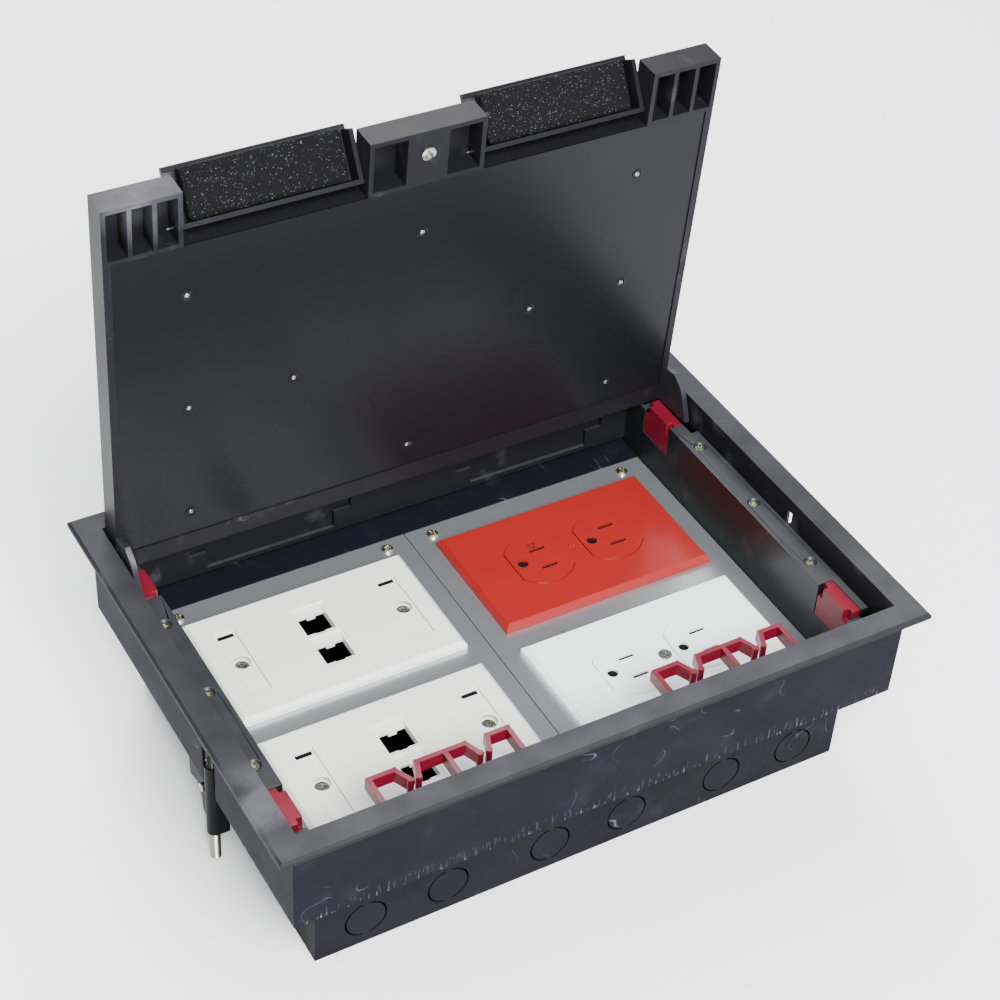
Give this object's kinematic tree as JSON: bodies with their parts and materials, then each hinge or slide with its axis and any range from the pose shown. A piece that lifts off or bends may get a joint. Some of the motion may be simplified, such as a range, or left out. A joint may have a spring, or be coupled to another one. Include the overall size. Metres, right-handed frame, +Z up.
{
  "type": "floor socket box",
  "caption": "Rectangular raised-floor socket box with a hinged lid, cable exit flaps, power outlets and open data plates.",
  "frame": {"origin": "centre of the lower box's underside", "axes": "+Z up, +X along the long side, the lid hinged at +Y"},
  "size_m": [0.3214, 0.2276, 0.2845],
  "materials": {
    "trim_plastic": "satin moulded",
    "rail_plastic": "satin moulded",
    "painted_steel": "satin powder coat",
    "plate_steel": "zinc plated",
    "zinc_screw": "zinc plated",
    "catch_red": "moulded",
    "plate_red": "gloss moulded",
    "plate_white": "gloss moulded",
    "plate_screw": "painted head",
    "strap_steel": "plated",
    "data_plastic": "satin moulded",
    "clear_plastic": "clear",
    "clip_red": "moulded",
    "lid_plastic": "satin moulded",
    "flap_plastic": "satin moulded",
    "lid_steel": "semi-gloss paint",
    "rivet_steel": "plain",
    "arm_metal": "stamped",
    "carpet": "carpet",
    "foam_black": "open-cell foam",
    "clamp_plastic": "moulded",
    "stud_steel": "zinc plated",
    "nut_brass": "turned"
  },
  "bodies": {
    "box": {"data_mounting_plate": "plate_steel", "data_plate_screws": "zinc_screw", "front_data_plate": "data_plastic", "front_support_bar": "painted_steel", "label_covers": "clear_plastic", "left_cable_clip": "clip_red", "left_rail": "rail_plastic", "lower_box": "painted_steel", "mounting_screws": "zinc_screw", "partition": "painted_steel", "power_mounting_plate": "plate_steel", "rail_screws": "zinc_screw", "rear_data_plate": "data_plastic", "rear_support_bar": "painted_steel", "red_receptacle": "plate_red", "red_strap": "strap_steel", "red_wall_plate": "plate_red", "right_cable_clip": "clip_red", "right_rail": "rail_plastic", "strap_screws": "zinc_screw", "trim_frame": "trim_plastic", "upper_box": "painted_steel", "wall_plate_screws": "plate_screw", "white_receptacle": "plate_white", "white_strap": "strap_steel", "white_wall_plate": "plate_white"},
    "lid": {"lid_frame": "lid_plastic", "lid_steel_plate": "lid_steel", "lid_rivets": "rivet_steel", "lid_infill": "carpet", "lid_centre_screw": "zinc_screw", "hinge_pins": "rivet_steel", "left_hinge_arm": "arm_metal", "right_hinge_arm": "arm_metal", "flap_pins": "rivet_steel"},
    "left_flap": {"left_flap": "flap_plastic", "left_foam": "foam_black"},
    "right_flap": {"right_flap": "flap_plastic", "right_foam": "foam_black"},
    "front_left_catch": {"front_left_catch": "catch_red"},
    "front_right_catch": {"front_right_catch": "catch_red"},
    "rear_left_catch": {"rear_left_catch": "catch_red"},
    "rear_right_catch": {"rear_right_catch": "catch_red"},
    "left_jack_screw": {"left_jack_screw": "stud_steel"},
    "left_jack_nut": {"left_jack_nut": "nut_brass"},
    "left_jaw": {"left_clamp_jaw": "clamp_plastic", "left_guide_screw": "zinc_screw"},
    "right_jack_screw": {"right_jack_screw": "stud_steel"},
    "right_jack_nut": {"right_jack_nut": "nut_brass"},
    "right_jaw": {"right_clamp_jaw": "clamp_plastic", "right_guide_screw": "zinc_screw"}
  },
  "joints": [
    {"name": "lid_hinge", "type": "hinge", "parent": "box", "child": "lid", "pos_m": [0, 0.0934, 0.0901], "axis": [1, 0, 0], "range_deg": [0, 86.4]},
    {"name": "left_flap_hinge", "type": "hinge", "parent": "lid", "child": "left_flap", "pos_m": [-0.07, 0.08704, 0.25967], "axis": [-1, 0, 0], "range_deg": [-33, 0]},
    {"name": "right_flap_hinge", "type": "hinge", "parent": "lid", "child": "right_flap", "pos_m": [0.07, 0.08704, 0.25967], "axis": [-1, 0, 0], "range_deg": [-33, 0]},
    {"name": "front_left_catch_slide", "type": "slide", "parent": "box", "child": "front_left_catch", "axis": [1, 0, 0], "range_m": [0, 0.004]},
    {"name": "front_right_catch_slide", "type": "slide", "parent": "box", "child": "front_right_catch", "axis": [-1, 0, 0], "range_m": [0, 0.004]},
    {"name": "rear_left_catch_slide", "type": "slide", "parent": "box", "child": "rear_left_catch", "axis": [1, 0, 0], "range_m": [0, 0.004]},
    {"name": "rear_right_catch_slide", "type": "slide", "parent": "box", "child": "rear_right_catch", "axis": [-1, 0, 0], "range_m": [0, 0.004]},
    {"name": "left_jack_turn", "type": "hinge", "parent": "box", "child": "left_jack_screw", "pos_m": [-0.1503, -0.022, 0.05], "axis": [0, 0, -1], "range_deg": [0, 5700]},
    {"name": "left_jaw_lift", "type": "slide", "parent": "box", "child": "left_jack_nut", "axis": [0, 0, 1], "range_m": [0, 0.0126]},
    {"name": "left_jaw_swing", "type": "hinge", "parent": "left_jack_nut", "child": "left_jaw", "pos_m": [-0.1503, -0.022, 0.05], "axis": [0, 0, 1], "range_deg": [0, 90]},
    {"name": "right_jack_turn", "type": "hinge", "parent": "box", "child": "right_jack_screw", "pos_m": [0.1503, -0.022, 0.05], "axis": [0, 0, -1], "range_deg": [0, 5700]},
    {"name": "right_jaw_lift", "type": "slide", "parent": "box", "child": "right_jack_nut", "axis": [0, 0, 1], "range_m": [0, 0.0126]},
    {"name": "right_jaw_swing", "type": "hinge", "parent": "right_jack_nut", "child": "right_jaw", "pos_m": [0.1503, -0.022, 0.05], "axis": [0, 0, -1], "range_deg": [0, 90]}
  ],
  "couplings": [
    {"joint": "left_jack_turn", "follows": "left_jaw_lift", "rad_per_m": 7854},
    {"joint": "right_jack_turn", "follows": "right_jaw_lift", "rad_per_m": 7854}
  ]
}
